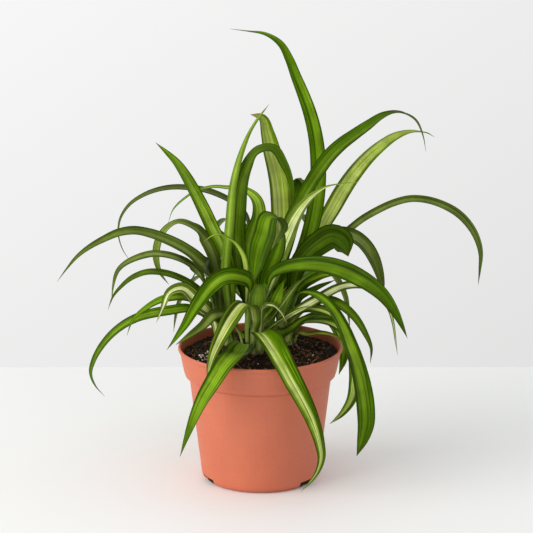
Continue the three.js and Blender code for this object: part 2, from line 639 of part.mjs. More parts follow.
const group = new THREE.Group();
addPiece(group, 'pot', makePot(), material(0xc8745a, 0.55));
addPiece(group, 'soil', makeSoil(), material(0x33241c, 0.95));
for (const [shoot, place] of Object.entries(SHOOTS)) {
  addPiece(group, `crown_${shoot}`, makeCrown(place), material(0xb9c98a, 0.5));
}
const leaves = Object.entries(LEAVES).flatMap(([shoot, rows]) => (
  rows.map((row, rank) => makeLeaf(shoot, rank, rows.length, row))
));
partLeaves(leaves);
for (const leaf of leaves) {
  addPiece(group, leaf.name, bladeGeometry(leaf), material(0x4f8a2c, 0.45));
}

export default group;
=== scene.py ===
# The looks of the potted spider plant: fine leaves, crowns, soil and pot, fitted to the part's own frame.
import math
import random

import bmesh
import bpy
import numpy as np
from mathutils import Euler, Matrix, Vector, noise
from mathutils.bvhtree import BVHTree


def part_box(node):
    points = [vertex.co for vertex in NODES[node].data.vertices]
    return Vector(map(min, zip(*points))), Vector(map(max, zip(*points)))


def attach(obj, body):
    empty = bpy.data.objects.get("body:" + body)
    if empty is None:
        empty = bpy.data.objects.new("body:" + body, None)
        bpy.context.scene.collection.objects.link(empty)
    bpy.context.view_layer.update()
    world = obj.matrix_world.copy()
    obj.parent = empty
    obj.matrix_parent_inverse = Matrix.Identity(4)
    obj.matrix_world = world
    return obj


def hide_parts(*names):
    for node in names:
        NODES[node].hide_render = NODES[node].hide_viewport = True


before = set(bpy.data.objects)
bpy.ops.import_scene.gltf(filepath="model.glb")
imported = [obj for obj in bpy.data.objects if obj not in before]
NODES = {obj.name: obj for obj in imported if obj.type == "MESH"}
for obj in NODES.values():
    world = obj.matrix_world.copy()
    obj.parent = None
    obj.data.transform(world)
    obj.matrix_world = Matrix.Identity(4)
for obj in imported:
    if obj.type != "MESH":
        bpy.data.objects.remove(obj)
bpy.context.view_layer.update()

MM = 0.001
FULL_TURN = 2 * math.pi
# a little more than a full turn, for directions that are drawn at random
ANY_TURN = 6.3
LEAF_NODES = sorted(name for name in NODES if name.startswith("leaf_"))
CROWN_NODES = sorted(name for name in NODES if name.startswith("crown_"))


# ------------------------------------------------------------------ reading the frame

# corners nearer than this are one corner
MERGE_STEP = 0.02 * MM
# a blade's solid has this many corners in each section, and a pointed tip
SECTION_CORNERS = 6
TINY = 1e-12


def unit(v):
    return v / max(np.linalg.norm(v), TINY)


def unit_rows(v):
    return v / np.maximum(np.linalg.norm(v, axis=1, keepdims=True), TINY)


def node_mesh(name):
    """A node's corners, merged where they meet, and its faces as corner numbers."""
    mesh = NODES[name].data
    raw = np.empty(len(mesh.vertices) * 3)
    mesh.vertices.foreach_get("co", raw)
    raw = raw.reshape(-1, 3)
    keys = np.round(raw / MERGE_STEP).astype(np.int64)
    _, first, place = np.unique(keys, axis=0, return_index=True, return_inverse=True)
    place = place.reshape(-1)
    faces = []
    for polygon in mesh.polygons:
        corners = [int(place[i]) for i in polygon.vertices]
        if len(set(corners)) == len(corners):
            faces.append(corners)
    return raw[first], faces


def tree_of(name):
    points, faces = node_mesh(name)
    return BVHTree.FromPolygons([Vector(p) for p in points], faces)


def neighbours(count, faces):
    near = [set() for _ in range(count)]
    for face in faces:
        for a, b in zip(face, face[1:] + face[:1]):
            near[a].add(b)
            near[b].add(a)
    return near


def rings_from_tip(near):
    """The number of the pointed tip, and the corner numbers of each section from there to the foot."""
    for tip, first in enumerate(near):
        if len(first) != SECTION_CORNERS or any(len(near[i] & first) != 2 for i in first):
            continue
        seen = {tip} | first
        rings = [sorted(first)]
        while True:
            ahead = set().union(*(near[i] for i in rings[-1])) - seen
            if len(ahead) != SECTION_CORNERS:
                break
            rings.append(sorted(ahead))
            seen |= ahead
        if len(seen) == len(near):
            return tip, rings
    return None, []


def matching(ring):
    """The three thickness pairs of a section's six corners: the pairing that is shortest in all."""
    best = None
    for a in range(1, SECTION_CORNERS):
        rest = [i for i in range(1, SECTION_CORNERS) if i != a]
        for b in rest[1:]:
            last = tuple(i for i in rest[1:] if i != b)
            pairs = [(0, a), (rest[0], b), last]
            length = sum(np.linalg.norm(ring[i] - ring[j]) for i, j in pairs)
            if best is None or length < best[0]:
                best = (length, pairs)
    return best[1]


def keel_and_edges(ring):
    """The middle of a section's thickness at its keel and at its two edges."""
    thirds = [(ring[i] + ring[j]) / 2 for i, j in matching(ring)]
    gaps = [np.linalg.norm(thirds[(k + 1) % 3] - thirds[(k + 2) % 3]) for k in range(3)]
    keel = int(np.argmax(gaps))
    return thirds[keel], thirds[(keel + 1) % 3], thirds[(keel + 2) % 3]


def leaf_sections(name):
    """Centre line, directions across and half widths of a leaf's solid, from foot to tip."""
    points, faces = node_mesh(name)
    tip, rings = rings_from_tip(neighbours(len(points), faces))
    if tip is None:
        raise ValueError(f"{name} doesn't have the sections of a blade")
    middles = [keel_and_edges(points[ring]) for ring in reversed(rings)]
    centre = np.array([keel for keel, _, _ in middles] + [points[tip]])
    along = unit_rows(np.gradient(centre, axis=0))
    across, half = [], []
    for ahead, (keel, edge_a, edge_b) in zip(along, middles):
        up = unit((edge_a + edge_b) / 2 - keel)
        if np.dot(edge_b - edge_a, np.cross(ahead, up)) < 0:
            edge_a, edge_b = edge_b, edge_a
        across.append(unit(edge_b - edge_a))
        half.append(np.linalg.norm(edge_b - edge_a) / 2)
    across.append(across[-1])
    half.append(0.0)
    return centre, np.array(across), np.array(half)


def smooth_through(known, values, wanted):
    """A smooth curve through values at the known stations, read at the wanted ones."""
    values = np.asarray(values, float)
    flat = values.reshape(len(known), -1)
    slope = np.gradient(flat, known, axis=0)
    place = np.clip(np.searchsorted(known, wanted, side="right") - 1, 0, len(known) - 2)
    span = known[place + 1] - known[place]
    t = ((wanted - known[place]) / span)[:, None]
    span = span[:, None]
    a, b, ta, tb = flat[place], flat[place + 1], slope[place] * span, slope[place + 1] * span
    out = ((2 * t**3 - 3 * t**2 + 1) * a + (t**3 - 2 * t**2 + t) * ta
           + (3 * t**2 - 2 * t**3) * b + (t**3 - t**2) * tb)
    return out.reshape((len(wanted),) + values.shape[1:])


# ------------------------------------------------------------------ making pieces

def add_piece(name, points, faces, materials, smooth=True):
    mesh = bpy.data.meshes.new(name)
    mesh.from_pydata([tuple(p) for p in points], [], faces)
    mesh.polygons.foreach_set("use_smooth", [smooth] * len(mesh.polygons))
    for material in materials:
        mesh.materials.append(material)
    mesh.update()
    piece = bpy.data.objects.new(name, mesh)
    bpy.context.scene.collection.objects.link(piece)
    return piece


def add_values(piece, name, rows):
    """A vector for each corner point, which the materials read."""
    layer = piece.data.attributes.new(name, "FLOAT_VECTOR", "POINT")
    layer.data.foreach_set("vector", np.asarray(rows, np.float32).ravel())


# ------------------------------------------------------------------ materials

# the colour sockets of a mix node
MIX_A, MIX_B, MIX_RESULT = 6, 7, 2


def linear(r, g, b):
    """A colour as it looks on screen, 0 to 255, as the light value that a shader takes."""
    def one(v):
        v /= 255
        return v / 12.92 if v <= 0.04045 else ((v + 0.055) / 1.055) ** 2.4
    return (one(r), one(g), one(b), 1.0)


class Shader:
    """Short ways to put nodes into one material."""

    def __init__(self, name):
        self.material = bpy.data.materials.new(name)
        self.material.use_nodes = True
        self.tree = self.material.node_tree
        self.tree.nodes.clear()
        out = self.tree.nodes.new("ShaderNodeOutputMaterial")
        self.surface = self.tree.nodes.new("ShaderNodeBsdfPrincipled")
        self.tree.links.new(self.surface.outputs[0], out.inputs[0])

    def put(self, socket, value):
        if isinstance(value, bpy.types.NodeSocket):
            self.tree.links.new(value, socket)
        else:
            socket.default_value = value

    def set(self, **values):
        for key, value in values.items():
            self.put(self.surface.inputs[key.replace("_", " ")], value)

    def math(self, operation, *values):
        node = self.tree.nodes.new("ShaderNodeMath")
        node.operation = operation
        for socket, value in zip(node.inputs, values):
            self.put(socket, value)
        return node.outputs[0]

    def step(self, value, low, high, out_low=0.0, out_high=1.0):
        """Smooth change from out_low to out_high as value goes from low to high."""
        node = self.tree.nodes.new("ShaderNodeMapRange")
        node.interpolation_type = "SMOOTHSTEP"
        for socket, v in zip(node.inputs, (value, low, high, out_low, out_high)):
            self.put(socket, v)
        return node.outputs[0]

    def mix(self, share, a, b, blend="MIX"):
        node = self.tree.nodes.new("ShaderNodeMix")
        node.data_type, node.blend_type = "RGBA", blend
        self.put(node.inputs["Factor"], share)
        self.put(node.inputs[MIX_A], a)
        self.put(node.inputs[MIX_B], b)
        return node.outputs[MIX_RESULT]

    def values(self, name):
        node = self.tree.nodes.new("ShaderNodeAttribute")
        node.attribute_name = name
        return self.split(node.outputs["Vector"])

    def split(self, vector):
        node = self.tree.nodes.new("ShaderNodeSeparateXYZ")
        self.put(node.inputs[0], vector)
        return node.outputs[0], node.outputs[1], node.outputs[2]

    def join(self, x, y, z):
        node = self.tree.nodes.new("ShaderNodeCombineXYZ")
        for socket, value in zip(node.inputs, (x, y, z)):
            self.put(socket, value)
        return node.outputs[0]

    def stretched(self, x, y, z, cells):
        """A point for a noise to read, with this many cells in one unit of each value."""
        return self.join(*(self.math("MULTIPLY", value, count) for value, count in zip((x, y, z), cells)))

    def place(self):
        return self.tree.nodes.new("ShaderNodeTexCoord").outputs["Object"]

    def noise(self, vector, scale=1.0, detail=2.0, rough=0.5):
        node = self.tree.nodes.new("ShaderNodeTexNoise")
        self.put(node.inputs["Vector"], vector)
        node.inputs["Scale"].default_value = scale
        node.inputs["Detail"].default_value = detail
        node.inputs["Roughness"].default_value = rough
        return node.outputs[0]

    def cells(self, vector, scale):
        node = self.tree.nodes.new("ShaderNodeTexVoronoi")
        self.put(node.inputs["Vector"], vector)
        node.inputs["Scale"].default_value = scale
        return node.outputs["Distance"]

    def bump(self, height, strength, distance):
        node = self.tree.nodes.new("ShaderNodeBump")
        self.put(node.inputs["Height"], height)
        node.inputs["Strength"].default_value = strength
        node.inputs["Distance"].default_value = distance
        self.put(self.surface.inputs["Normal"], node.outputs[0])


# ------------------------------------------------------------------ the leaves' material

# Each look is (edge line, green, light green, cream, half width of the pale band, how soft its
# edge is, its shift, share of cream in it). A band half width of 1 fills the blade.
LOOKS = {
    "lime": ((44, 64, 0), (72, 112, 0), (124, 166, 6), (190, 202, 96), 0.42, 0.36, 0.0, 0.2),
    "striped": ((40, 56, 0), (72, 100, 2), (146, 166, 44), (218, 222, 152), 0.42, 0.30, 0.04, 0.7),
    "veined": ((40, 56, 0), (72, 106, 0), (142, 170, 34), (218, 224, 146), 0.40, 0.28, 0.1, 0.65),
    "cream": ((46, 62, 0), (74, 100, 6), (196, 206, 118), (242, 244, 192), 0.44, 0.20, 0.0, 0.85),
    "pale": ((60, 80, 0), (102, 130, 8), (154, 176, 56), (208, 214, 138), 0.66, 0.30, -0.08, 0.6),
    "bright": ((50, 72, 0), (84, 122, 0), (134, 168, 26), (200, 210, 122), 0.42, 0.34, 0.0, 0.25),
    "mid": ((42, 62, 0), (68, 108, 0), (108, 146, 8), (180, 196, 92), 0.42, 0.38, 0.15, 0.12),
    "dark": ((34, 50, 0), (54, 82, 2), (80, 108, 8), (140, 156, 74), 0.42, 0.45, 0.0, 0.12),
    "green": ((42, 58, 0), (70, 102, 0), (106, 138, 10), (182, 192, 104), 0.38, 0.38, -0.1, 0.16),
    "grey": ((54, 70, 10), (84, 104, 28), (116, 134, 52), (170, 180, 116), 0.40, 0.36, 0.0, 0.25),
    "olive": ((58, 58, 4), (106, 110, 10), (156, 154, 40), (196, 188, 104), 0.36, 0.40, 0.0, 0.4),
}
# How much of the pale band is left at the tip of the leaves that have a broad one, and of the others.
VARIEGATED = {"striped": 0.8, "veined": 0.8, "cream": 0.8, "pale": 0.4}
PLAIN_TIP = 0.15
# Each leaf's look and how light it is: partly its own green, and partly painted light, the higher values
# brightening leaves that lie in shade among the others.
LOOK_OF = {
    "leaf_front_left_long": ("lime", 0.84), "leaf_front_right_long": ("veined", 1.25),
    "leaf_low_left_grey": ("grey", 1.0), "leaf_right_pale_edge": ("cream", 1.08),
    "leaf_right_low_brown": ("green", 1.3), "leaf_stub_left": ("bright", 1.7),
    "leaf_front_striped": ("striped", 0.95), "leaf_right_low_pale": ("veined", 1.05),
    "leaf_front_left_bright": ("lime", 0.9), "leaf_short_upright_b": ("bright", 1.7),
    "leaf_curl_cream": ("cream", 1.5), "leaf_short_upright_a": ("striped", 1.5),
    "leaf_curl_pale": ("pale", 1.4), "leaf_centre_upright": ("lime", 1.0),
    "leaf_right_bright_arch": ("mid", 0.72), "leaf_centre_kinked": ("mid", 0.95),
    "leaf_low_left_long": ("lime", 0.73), "leaf_left_cream_folded": ("cream", 1.32),
    "leaf_low_left_striped": ("lime", 1.15), "leaf_small_hook": ("green", 1.0),
    "leaf_left_thin": ("green", 0.8), "leaf_left_arch": ("grey", 1.0),
    "leaf_left_middle": ("grey", 1.1), "leaf_small_upright": ("green", 1.0),
    "leaf_left_hook": ("grey", 1.1), "leaf_centre_left_tall": ("bright", 1.25),
    "leaf_left_upright": ("bright", 1.08), "leaf_right_behind_rim": ("lime", 1.0),
    "leaf_right_over_soil": ("olive", 1.3), "leaf_right_inner_droop": ("striped", 1.5),
    "leaf_right_thin_brown": ("green", 1.8), "leaf_right_short_droop": ("veined", 1.3),
    "leaf_right_outer_droop": ("green", 1.0), "leaf_right_dark_pointed": ("dark", 0.9),
    "leaf_right_arch": ("grey", 0.95), "leaf_right_big_droop": ("lime", 0.86),
    "leaf_right_dark_folded": ("dark", 1.2), "leaf_right_broad_green": ("mid", 1.9),
    "leaf_right_tall": ("mid", 0.76), "leaf_right_long_arch": ("grey", 0.95),
    "leaf_tallest": ("mid", 1.12), "leaf_centre_arch_back": ("dark", 1.1),
    "leaf_centre_broad": ("pale", 1.0), "leaf_centre_cream": ("cream", 2.0),
    "leaf_back_right_low": ("green", 0.9), "leaf_back_low": ("lime", 1.0),
    "leaf_back_left_low": ("striped", 0.85), "leaf_back_right_arch": ("dark", 1.1),
    "leaf_back_left_arch": ("bright", 1.0), "leaf_back_left_grey": ("grey", 0.68),
    "leaf_back_left_broad": ("bright", 1.5), "leaf_behind_folded": ("dark", 1.25),
    "leaf_back_right_pale": ("pale", 1.12),
}

# how far apart the leaves' patterns lie in the noise
PATTERN_SPREAD = 37.0
# Streaks drawn out along the blade: cells across half a blade, cells in 100 mm of it, their own offset.
BAND_CELLS = (2.4, 0.7, 0.0)
LINE_CELLS = (5.2, 1.1, 5.0)
HAIR_CELLS = (13.0, 2.0, 11.0)
VEIN_CELLS = (7.0, 0.4, 21.0)
# slow change from foot to tip, in cells in 100 mm
SLOW_CELLS = 7.0
# Each change is (value where it starts, value where it ends, share before it, share after it).
DARK_LINES = (0.47, 0.58, 0.0, 0.95)
LIGHT_BANDS = (0.46, 0.38, 0.0, 0.5)
CREAM_LINES = (0.41, 0.51, 0.0)
GREEN_HAIRS = (0.55, 0.63, 0.0, 0.6)
LIGHT_HAIRS = (0.44, 0.34, 0.0, 0.35)
DARK_VEINS = (0.54, 0.62, 0.0, 0.4)
EDGE_LINE = (0.78, 0.97)
EDGE_BREAKS = (0.3, 0.5, 0.6, 0.9)
UNDERSIDE = (0.6, 0.4, 0.0, 0.5)
UNDERSIDE_HAIRS = (0.35, 0.65, 0.25, 0.55)
PALE_FOOT = (0.28, 0.04, 0.0, 0.35)
DRY_TIP = (0.94, 0.995, 0.0, 0.7)
BLADE_TONE = (0.25, 0.75, 0.8, 1.16)
BLADE_ROUGHNESS = (0.2, 0.8, 0.36, 0.54)
# the pale band: how far it wanders, how ragged and how soft its edge is, where it runs out, 1 being the tip
BAND_DRIFT = 0.25
BAND_RAGS = 1.1
BAND_SOFTNESS = 0.6
BAND_END = (0.55, 0.92, 1.0)
UNDERSIDE_COLOUR = linear(118, 136, 62)
FOOT_COLOUR = linear(176, 190, 104)
DRY_PALE, DRY_GREEN = linear(150, 136, 84), linear(70, 66, 26)
LINE_RELIEF, HAIR_RELIEF = 1.6, 0.8
BLADE_SHEEN = 0.09
BLADE_SHEEN_TINT = (0.8, 1.0, 0.4, 1.0)


def leaf_material(look):
    """Reads "blade": across from -1 to 1, along in 100 mm, 1 above or 0 beneath. And "growth": the share of
    the way from foot to tip, a number of the leaf's own, and how light the leaf is, partly its own green and
    partly painted light that brightens leaves lying in shade."""
    *colours, band_half, softness, shift, creaminess = LOOKS[look]
    edge_line, green, light, cream = (linear(*colour) for colour in colours)
    s = Shader(f"leaf_{look}")
    across, along, side = s.values("blade")
    share, seed, leaf_tone_and_painted_light = s.values("growth")
    apart = s.math("MULTIPLY", seed, PATTERN_SPREAD)

    def streaks(width_cells, length_cells, offset):
        return s.noise(s.join(s.math("MULTIPLY", across, width_cells),
                              s.math("MULTIPLY", along, length_cells),
                              s.math("ADD", apart, offset)))

    def around(value, size):
        """A noise's value moved to lie around 0."""
        return s.math("MULTIPLY", s.math("SUBTRACT", value, 0.5), size)

    slow = s.noise(s.join(apart, s.math("MULTIPLY", along, SLOW_CELLS), seed))
    bands, lines = streaks(*BAND_CELLS), streaks(*LINE_CELLS)
    hairs, veins = streaks(*HAIR_CELLS), streaks(*VEIN_CELLS)

    # the green of the blade, drawn out in darker and lighter lines along the veins
    blade = s.mix(s.step(lines, *DARK_LINES), green, edge_line)
    blade = s.mix(s.step(bands, *LIGHT_BANDS), blade, light)
    # the pale band down the middle, its edge broken into streaks
    middle = s.math("ADD", around(slow, BAND_DRIFT), shift)
    off = s.math("ABSOLUTE", s.math("SUBTRACT", across, middle))
    ragged = s.math("ADD", off, around(bands, BAND_RAGS))
    soft = BAND_SOFTNESS * softness
    in_band = s.step(ragged, band_half + soft, band_half - soft)
    # the band runs out towards the tip, more so on a leaf that is mostly green
    kept = s.step(share, *BAND_END, VARIEGATED.get(look, PLAIN_TIP))
    pale = s.mix(s.step(lines, *CREAM_LINES, creaminess), light, cream)
    pale = s.mix(s.step(hairs, *GREEN_HAIRS), pale, green)
    colour = s.mix(s.math("MULTIPLY", in_band, kept), blade, pale)
    colour = s.mix(s.step(hairs, *LIGHT_HAIRS), colour, light)
    # long thin veins, dark through the band as well
    colour = s.mix(s.step(veins, *DARK_VEINS), colour, edge_line)
    # the edge line, broken here and there
    rim = s.math("MULTIPLY", s.step(s.math("ABSOLUTE", across), *EDGE_LINE), s.step(slow, *EDGE_BREAKS))
    colour = s.mix(rim, colour, edge_line)
    # the underside is duller and a little paler
    dull = s.mix(s.step(hairs, *UNDERSIDE_HAIRS), UNDERSIDE_COLOUR, colour)
    colour = s.mix(s.step(side, *UNDERSIDE), colour, dull)
    # the foot is pale and the tip slightly dry
    colour = s.mix(s.step(along, *PALE_FOOT), colour, FOOT_COLOUR)
    colour = s.mix(s.step(share, *DRY_TIP), colour, DRY_PALE if look in VARIEGATED else DRY_GREEN)
    # each leaf's lightness, with painted light that brightens the leaves lying in shade
    tone_and_painted_light = s.math("MULTIPLY", s.step(slow, *BLADE_TONE), leaf_tone_and_painted_light)
    colour = s.mix(1.0, colour, s.join(tone_and_painted_light, tone_and_painted_light, tone_and_painted_light), "MULTIPLY")
    s.set(Base_Color=colour, Specular_IOR_Level=BLADE_SHEEN, Specular_Tint=BLADE_SHEEN_TINT)
    s.set(Roughness=s.step(hairs, *BLADE_ROUGHNESS))
    relief = s.math("ADD", s.math("MULTIPLY", lines, LINE_RELIEF), s.math("MULTIPLY", hairs, HAIR_RELIEF))
    s.bump(relief, strength=0.5, distance=0.3 * MM)
    return s.material


# ------------------------------------------------------------------ leaves

STATION_LENGTH = 2.6 * MM
LEAST_STATIONS = 40
ACROSS = 20
# how far the edges stand above the keel, and how round the keel is, in half widths
FOLD = 0.3
KEEL_SOFTNESS = 0.12
# the half width at the tip, and the most by which a blade passes its solid's greatest half width
TIP_HALF_WIDTH = 0.06 * MM
MOST_WIDTH = 1.02
# fine ribs along the blade, and slow waves of its edges that start above the foot
RIBS = 5
RIB_HEIGHT = 0.012
WAVE_HEIGHT = 0.05
WAVE_PACE = (18 * MM, 30 * MM)
WAVE_SKEW = 0.8
WAVE_START = 40 * MM
MID_THICKNESS = 0.56 * MM
EDGE_THICKNESS = 0.26 * MM
# a blade is thinner where its half width is under this, down to a share of its thickness
FULL_THICKNESS_FROM = 2 * MM
LEAST_THICKNESS = 0.35
FIRST_LEAF_SEED = 100


def blade_lift(wanted, shares, rng):
    """How far each point of a blade stands above its keel line, in half widths."""
    phase, pace = rng.uniform(0, ANY_TURN), rng.uniform(*WAVE_PACE)
    soft = KEEL_SOFTNESS
    fold = FOLD * (np.sqrt(shares**2 + soft**2) - soft) / (math.sqrt(1 + soft**2) - soft)
    ribs = RIB_HEIGHT * np.cos(math.pi * RIBS * shares) * (1 - shares**2)
    wave = WAVE_HEIGHT * np.sin(wanted[:, None] / pace + phase + shares[None] * WAVE_SKEW) * shares[None] ** 2
    wave *= np.clip(wanted / WAVE_START, 0, 1)[:, None]
    return fold[None] + ribs[None] + wave


def blade_faces(count):
    """The closed skin of a blade: top, underside, two edges, foot and tip."""
    low = ACROSS + 1
    row = 2 * low
    end = count * row
    faces = []
    for i in range(count):
        a, b = i * row, (i + 1) * row
        for j in range(ACROSS):
            faces.append((a + j, a + j + 1, b + j + 1, b + j))
            faces.append((a + low + j, b + low + j, b + low + j + 1, a + low + j + 1))
        faces.append((a, b, b + low, a + low))
        faces.append((a + ACROSS, a + low + ACROSS, b + low + ACROSS, b + ACROSS))
    for j in range(ACROSS):
        faces.append((j, low + j, low + j + 1, j + 1))
        faces.append((end + j, end + j + 1, end + low + j + 1, end + low + j))
    return faces


def fine_leaf(name, seed, materials):
    centre, across, half = leaf_sections(name)
    known = np.concatenate([[0], np.cumsum(np.linalg.norm(np.diff(centre, axis=0), axis=1))])
    count = max(LEAST_STATIONS, int(known[-1] / STATION_LENGTH))
    wanted = known[-1] * (np.arange(count + 1) / count)
    line = smooth_through(known, centre, wanted)
    along = unit_rows(np.gradient(line, axis=0))
    side = smooth_through(known, across, wanted)
    side = unit_rows(side - along * np.sum(side * along, axis=1, keepdims=True))
    up = np.cross(side, along)
    wide = np.maximum(smooth_through(known, half, wanted), TIP_HALF_WIDTH)
    wide = np.minimum(wide, half.max() * MOST_WIDTH)

    rng = random.Random(seed)
    shares = np.linspace(-1, 1, ACROSS + 1)
    height = blade_lift(wanted, shares, rng) * wide[:, None]
    thick = EDGE_THICKNESS + (MID_THICKNESS - EDGE_THICKNESS) * (1 - shares**2)
    thick = thick[None] * np.clip(wide[:, None] / FULL_THICKNESS_FROM, LEAST_THICKNESS, 1)
    mid = line[:, None] + side[:, None] * (wide[:, None] * shares[None])[..., None]
    mid = mid + up[:, None] * height[..., None]
    half_thick = up[:, None] * (thick / 2)[..., None]
    points = np.concatenate([mid + half_thick, mid - half_thick], axis=1)

    look, tone_and_painted_light = LOOK_OF[name]
    piece = add_piece("fine_" + name, points.reshape(-1, 3), blade_faces(count), [materials[look]])
    blade = np.empty_like(points)
    blade[..., 0] = np.concatenate([shares, shares])[None]
    blade[..., 1] = wanted[:, None] / (100 * MM)
    blade[..., 2] = np.repeat([1, 0], len(shares))[None]
    growth = np.empty_like(points)
    growth[..., 0] = (wanted / wanted[-1])[:, None]
    growth[..., 1] = rng.random()
    # the leaf's lightness, partly painted light that brightens a leaf lying in shade
    growth[..., 2] = tone_and_painted_light
    add_values(piece, "blade", blade)
    add_values(piece, "growth", growth)
    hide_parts(name)
    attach(piece, "root")


leaf_materials = {look: leaf_material(look) for look in LOOKS}
for number, leaf_name in enumerate(LEAF_NODES):
    fine_leaf(leaf_name, FIRST_LEAF_SEED + number, leaf_materials)


# ------------------------------------------------------------------ the soil's level

SOIL_LOW, SOIL_HIGH = (Vector(corner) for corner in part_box("soil"))
SOIL_RADIUS = (SOIL_HIGH.x - SOIL_LOW.x) / 2
SOIL_TREE = tree_of("soil")
POT_TREE = tree_of("pot")
CROWN_PLACES = [(Vector(low) + Vector(high)) / 2 for low, high in map(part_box, CROWN_NODES)]
# the loose top ends this far inside the solid, and the level is read no further out than LEVEL_REACH
BED_EDGE = SOIL_RADIUS - 0.9 * MM
LEVEL_REACH = 0.985 * BED_EDGE
# the solid's level is asked for from above, and an answer deeper than this lies in a shoot's hole
ASK_FROM = SOIL_HIGH.z + 50 * MM
HOLE_DEPTH = 6 * MM
# the usual level is the mean at places along a spiral over this share of the soil
SAMPLES = 400
SAMPLE_TURN = 2.4
SAMPLED_SHARE = 0.9
MOUND_HEIGHT = 2.6 * MM
MOUND_REACH = 13 * MM
# the loose mix: lumps and grains, as (cells in a metre, height in mm, layer, three settings of the noise)
LUMPS = (90, 1.2, 0.3, (0.9, 2.1, 4))
GRAINS = (380, 0.8, 4.7, (0.8, 2.2, 3))


def solid_level(x, y):
    """The top of the soil's solid, or None over a shoot's hole."""
    hit = SOIL_TREE.ray_cast(Vector((x, y, ASK_FROM)), Vector((0, 0, -1)))[0]
    if hit is None or hit.z < SOIL_HIGH.z - HOLE_DEPTH:
        return None
    return hit.z


def usual_solid_level():
    levels = []
    for k in range(SAMPLES):
        turn, reach = k * SAMPLE_TURN, SAMPLED_SHARE * SOIL_RADIUS * math.sqrt((k + 0.5) / SAMPLES)
        level = solid_level(reach * math.cos(turn), reach * math.sin(turn))
        if level is not None:
            levels.append(level)
    return sum(levels) / len(levels)


USUAL_LEVEL = usual_solid_level()


def ground(x, y):
    """The top of the loose mix: the solid's level, heaped up a little round each crown, with its crumbs."""
    inner = min(1, LEVEL_REACH / max(math.hypot(x, y), MM))
    near = min(math.hypot(inner * x - p.x, inner * y - p.y) for p in CROWN_PLACES)
    level = solid_level(inner * x, inner * y) or USUAL_LEVEL
    level += MOUND_HEIGHT * math.exp(-(near / MOUND_REACH) ** 4)
    for cells, height, layer, settings in (LUMPS, GRAINS):
        level += height * MM * noise.fractal(Vector((x * cells, y * cells, layer)), *settings)
    return level


# ------------------------------------------------------------------ the soil's bed

BED_TURNS = 190
BED_STEPS = 74
WALL_STEPS = 26
WALL_TOP = SOIL_HIGH.z - 10 * MM
WALL_FOOT = SOIL_LOW.z + 0.1 * MM
# the mix has pits against the wall: their depth, and the cells of their noise round and up the wall
WALL_PITS = 0.8 * MM
PITS_ROUND = 30
PITS_UP = 700
# In a drain notch the pot's outside stands no further from the middle than DRAIN_REACH, also a margin to
# each side. Up to DRAIN_RISE the mix stands out to there, and it sags by up to DRAIN_DROP.
DRAIN_MARGIN = math.radians(3)
DRAIN_REACH = 43.6 * MM
DRAIN_RISE = 2.7 * MM
DRAIN_DROP = 1.7 * MM


def reach_from_outside(tree, turn, z):
    """How far from the middle a solid's outside stands, in one direction and at one level."""
    ahead = Vector((math.cos(turn), math.sin(turn), 0))
    hit = tree.ray_cast(2 * SOIL_RADIUS * ahead + Vector((0, 0, z)), -ahead)[0]
    return 0.0 if hit is None else math.hypot(hit.x, hit.y)


def at_drain(turn):
    """Whether a drain notch has taken the pot's wall away here, and a little to each side."""
    return all(reach_from_outside(POT_TREE, near, WALL_FOOT + MM) <= DRAIN_REACH
               for near in (turn - DRAIN_MARGIN, turn, turn + DRAIN_MARGIN))


def row_turns(row):
    """Directions of the corners of one row of the bed. Every other row is turned by half a step."""
    return [FULL_TURN * (i + 0.5 * (row % 2)) / BED_TURNS for i in range(BED_TURNS)]


def bed_top():
    points = [(0, 0, ground(0, 0))]
    for k in range(1, BED_STEPS + 1):
        reach = BED_EDGE * k / BED_STEPS
        for turn in row_turns(k):
            x, y = reach * math.cos(turn), reach * math.sin(turn)
            points.append((x, y, ground(x, y)))
    return points


def bed_side():
    """The mix against the pot's wall, from under its top to the floor."""
    turns = row_turns(BED_STEPS)
    drains = [at_drain(turn) for turn in turns]
    points = []
    for k in range(WALL_STEPS):
        above = (WALL_TOP - WALL_FOOT) * (1 - k / (WALL_STEPS - 1)) ** 2
        for turn, drain in zip(turns, drains):
            z = WALL_FOOT + above
            reach = reach_from_outside(SOIL_TREE, turn, z)
            if drain and above < DRAIN_RISE:
                reach = DRAIN_REACH
                z -= DRAIN_DROP * (1 - above / DRAIN_RISE)
            x, y = math.cos(turn), math.sin(turn)
            reach -= WALL_PITS * abs(noise.noise(Vector((x * PITS_ROUND, y * PITS_ROUND, z * PITS_UP))))
            points.append((reach * x, reach * y, z))
    foot = reach_from_outside(SOIL_TREE, 0, WALL_FOOT) - WALL_PITS
    points += [(foot * math.cos(turn), foot * math.sin(turn), WALL_FOOT) for turn in turns]
    points.append((0, 0, WALL_FOOT))
    return points


def bed_faces():
    """The bed's closed skin: a fan in the middle, rows out to the edge and down the side, a fan below."""
    rows = BED_STEPS + WALL_STEPS + 1
    below = 1 + rows * BED_TURNS
    last = below - BED_TURNS
    faces = []
    for i in range(BED_TURNS):
        j = (i + 1) % BED_TURNS
        faces.append((0, 1 + i, 1 + j))
        for k in range(rows - 1):
            a, b = 1 + k * BED_TURNS, 1 + (k + 1) * BED_TURNS
            if k + 1 >= BED_STEPS:
                faces.append((a + i, b + i, b + j, a + j))
            elif k % 2:
                faces += [(a + i, b + i, b + j), (a + i, b + j, a + j)]
            else:
                faces += [(a + i, b + i, a + j), (b + i, b + j, a + j)]
        faces.append((last + j, last + i, below))
    return faces


# ------------------------------------------------------------------ the soil's bits

# what a face of the soil is made of, as the place of its material
MIX, GRIT, FIBRE = 0, 1, 2
MIX_SEED = 7
# bits lie this far inside the edge, a heap's bits further
BIT_MARGIN = 0.8 * MM
HEAP_MARGIN = 3 * MM
# small bits are commoner than large ones
SMALLNESS = 2.2
